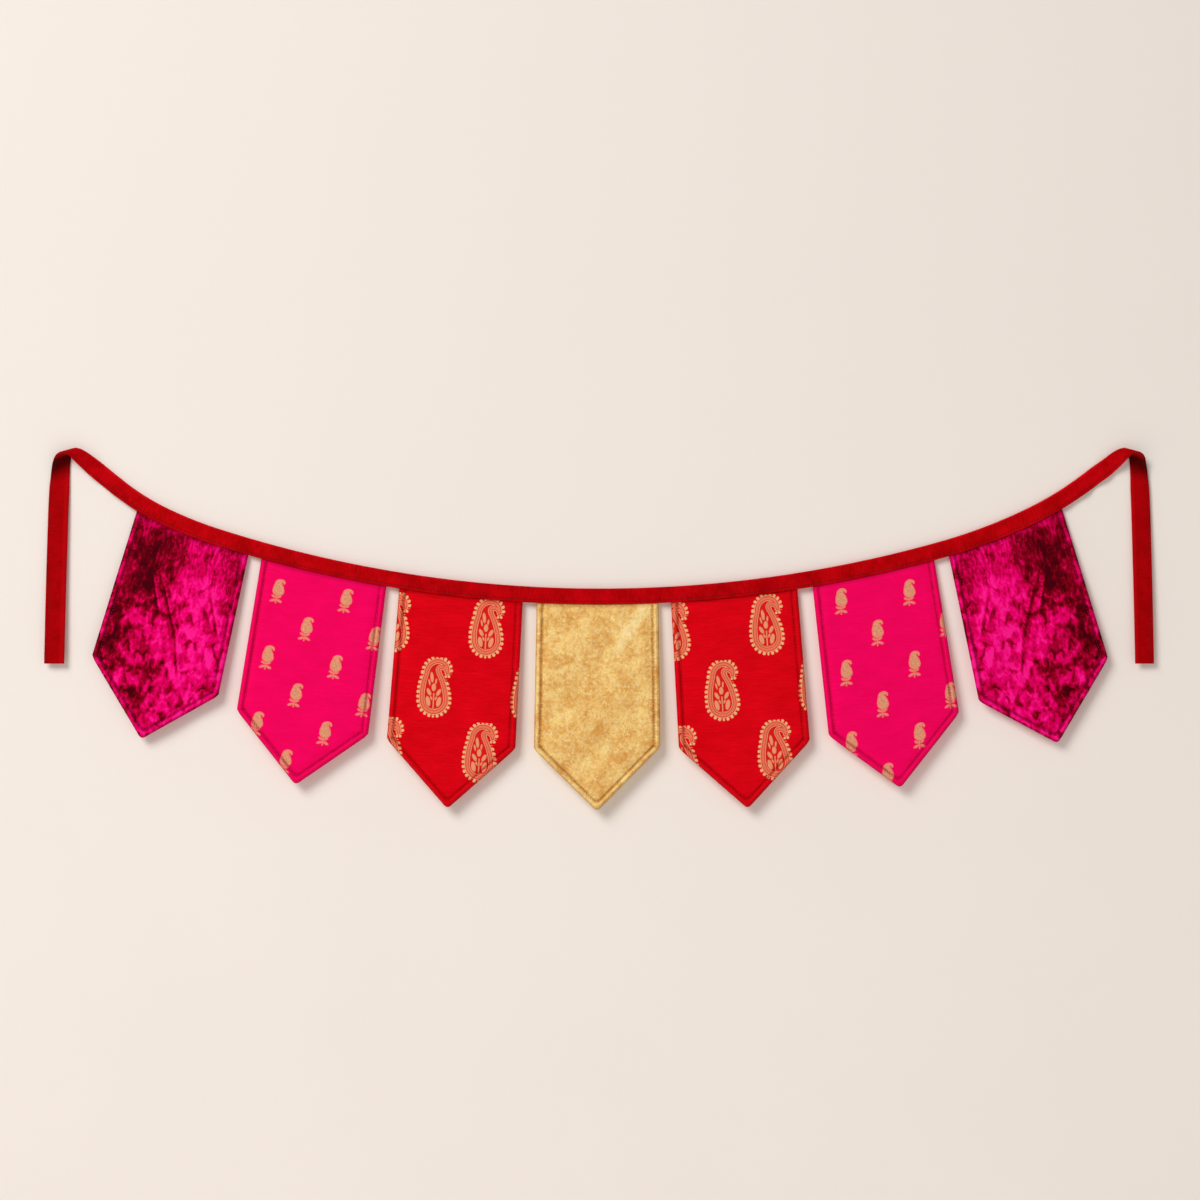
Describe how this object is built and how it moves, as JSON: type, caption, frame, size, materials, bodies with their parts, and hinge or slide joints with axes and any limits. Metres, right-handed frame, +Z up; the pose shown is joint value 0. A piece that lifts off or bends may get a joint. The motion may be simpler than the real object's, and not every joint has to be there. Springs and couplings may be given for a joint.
{
  "type": "toran",
  "caption": "Cloth door hanging: pointed velvet, silk and brocade panels bound in a curved folded tape with a free tie at each end.",
  "frame": {"origin": "on the tape's top edge, at the middle of its curve and of its thickness", "axes": "+X to the viewer's right along the hanging, +Z up, the front faces -Y"},
  "size_m": [1.1432, 0.0138, 0.3726],
  "materials": {
    "velvet": "crushed velvet, magenta on wine",
    "pink_silk": "slubbed silk blend with small dull gold butis",
    "red_silk": "slubbed silk blend with pale gold paisleys",
    "gold_brocade": "satin brocade with a tone-on-tone figure",
    "tape_crimson": "matt ribbed binding cloth"
  },
  "bodies": {
    "root": {"binding_tape": "tape_crimson", "panel_1_velvet": "velvet", "panel_2_pink": "pink_silk", "panel_3_red": "red_silk", "panel_4_gold": "gold_brocade", "panel_5_red": "red_silk", "panel_6_pink": "pink_silk", "panel_7_velvet": "velvet"}
  },
  "joints": []
}
